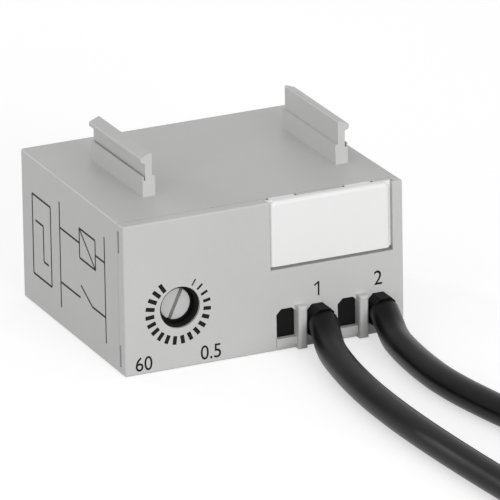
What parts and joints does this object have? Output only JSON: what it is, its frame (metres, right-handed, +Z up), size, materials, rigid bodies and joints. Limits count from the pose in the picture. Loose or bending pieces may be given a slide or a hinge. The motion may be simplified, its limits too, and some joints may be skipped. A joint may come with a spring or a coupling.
{
  "type": "electronic on-delay timer module",
  "caption": "Box-shaped electronic timer module with a recessed time dial, marker plate, two snap hooks on top and two short black leads for a contactor coil.",
  "frame": {"origin": "bottom centre of the module without its leads", "axes": "+X across the 45 mm front to the right, +Y from the front face to the back, +Z up towards the contactor"},
  "size_m": [0.0468, 0.1677, 0.0299],
  "materials": {
    "case": "fine moulded texture, light grey",
    "cover": "fine moulded texture, light grey",
    "marker": "smooth white",
    "dial": "smooth light grey",
    "pot_body": "moulded blue",
    "pot_rotor": "moulded off-white",
    "tinned": "tin plated",
    "board": "solder mask over glass epoxy",
    "capacitor_sleeve": "shrink sleeve",
    "film_box": "filled box",
    "varistor_coat": "epoxy coat",
    "moulding_black": "moulded epoxy",
    "resistor_coat": "cement coat",
    "grommet": "moulded black",
    "lead_jacket": "smooth black PVC",
    "ferrule_collar": "smooth black"
  },
  "bodies": {
    "case": {"housing": "case", "front_cover": "cover", "dial_bushing": "moulding_black", "slot_plug_1": "grommet", "slot_plug_2": "grommet", "potentiometer_body": "pot_body", "potentiometer_pins": "tinned", "circuit_board": "board", "supply_capacitor": "capacitor_sleeve", "timing_capacitor": "capacitor_sleeve", "film_capacitor": "film_box", "varistor": "varistor_coat", "bridge_rectifier": "moulding_black", "timer_chip": "moulding_black", "timer_chip_legs": "tinned", "switching_thyristor": "moulding_black", "thyristor_legs": "tinned", "power_resistor": "resistor_coat", "chip_resistors": "moulding_black", "diodes": "moulding_black", "lead_grommet_1": "grommet", "lead_grommet_2": "grommet", "inner_lead_1": "lead_jacket", "inner_lead_2": "lead_jacket", "lead_terminals": "tinned", "lead_1": "lead_jacket", "lead_2": "lead_jacket", "ferrule_collar_1": "ferrule_collar", "ferrule_collar_2": "ferrule_collar", "ferrule_tube_1": "tinned", "ferrule_tube_2": "tinned"},
    "dial": {"time_dial": "dial", "potentiometer_rotor": "pot_rotor"},
    "marker": {"marker_plate": "marker"}
  },
  "joints": [
    {"name": "dial_turn", "type": "hinge", "parent": "case", "child": "dial", "pos_m": [-0.0136, -0.0169, 0.0094], "axis": [0, 1, 0], "range_deg": [-170, 120]},
    {"name": "marker_lift", "type": "slide", "parent": "case", "child": "marker", "axis": [0, 0, 1], "range_m": [0, 0.012]}
  ]
}
